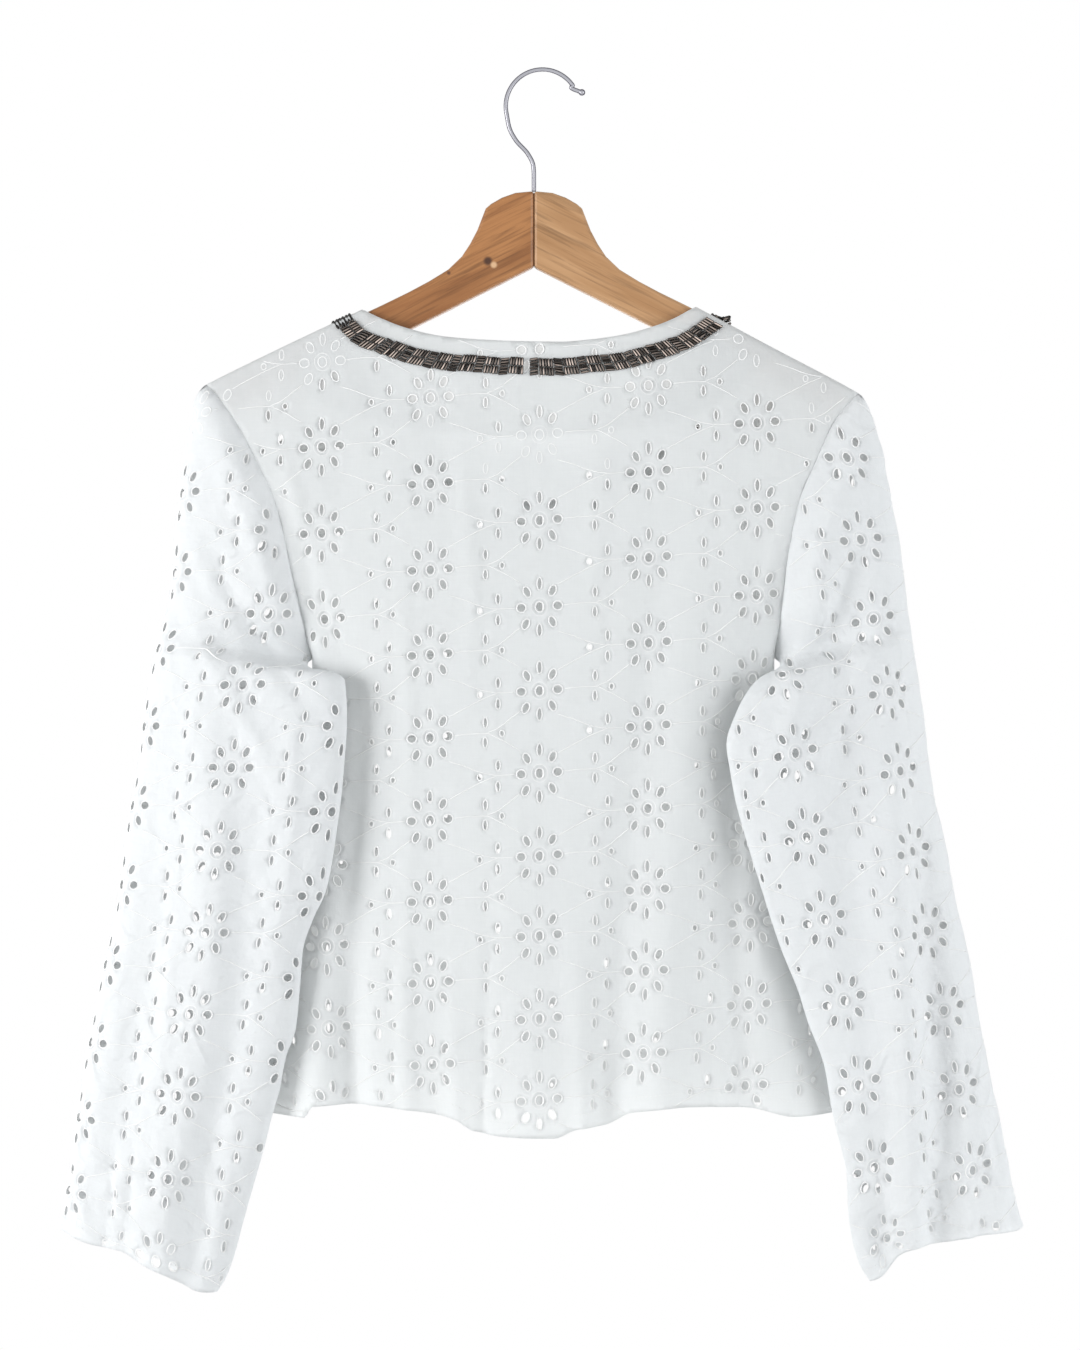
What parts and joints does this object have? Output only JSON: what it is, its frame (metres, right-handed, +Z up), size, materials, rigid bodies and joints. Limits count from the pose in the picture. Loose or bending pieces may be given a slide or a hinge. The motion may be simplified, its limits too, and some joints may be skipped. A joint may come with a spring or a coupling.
{
  "type": "eyelet jacket on a wooden hanger with a hook",
  "caption": "Cropped eyelet cotton jacket with long set-in sleeves and a bead-trimmed round neck, hanging on a plain wooden hanger with a bent wire hook.",
  "frame": {"origin": "the point under the crown of the hook that bears on the rail", "axes": "+Z up along the hanging jacket, +X towards the wearer's right sleeve, +Y towards the jacket's front opening"},
  "size_m": [0.664, 0.106, 0.8423],
  "materials": {
    "cotton": "matt white eyelet cotton with satin-stitch rims",
    "plain_cotton": "matt plain white cotton",
    "beads": "dark bronze bugle beads",
    "wood_left": "satin-varnished reddish wood with a knot",
    "wood_right": "satin-varnished pale wood",
    "chrome": "polished"
  },
  "bodies": {
    "root": {"jacket_back": "cotton", "jacket_front_left": "cotton", "jacket_front_right": "cotton", "sleeve_left_back": "cotton", "sleeve_left_front": "cotton", "sleeve_right_back": "cotton", "sleeve_right_front": "cotton", "neck_facing_back": "plain_cotton", "bead_trim_back": "beads", "bead_trim_front_left": "beads", "bead_trim_front_right": "beads", "hanger_arm_left": "wood_left", "hanger_arm_right": "wood_right", "hanger_hook": "chrome"}
  },
  "joints": []
}
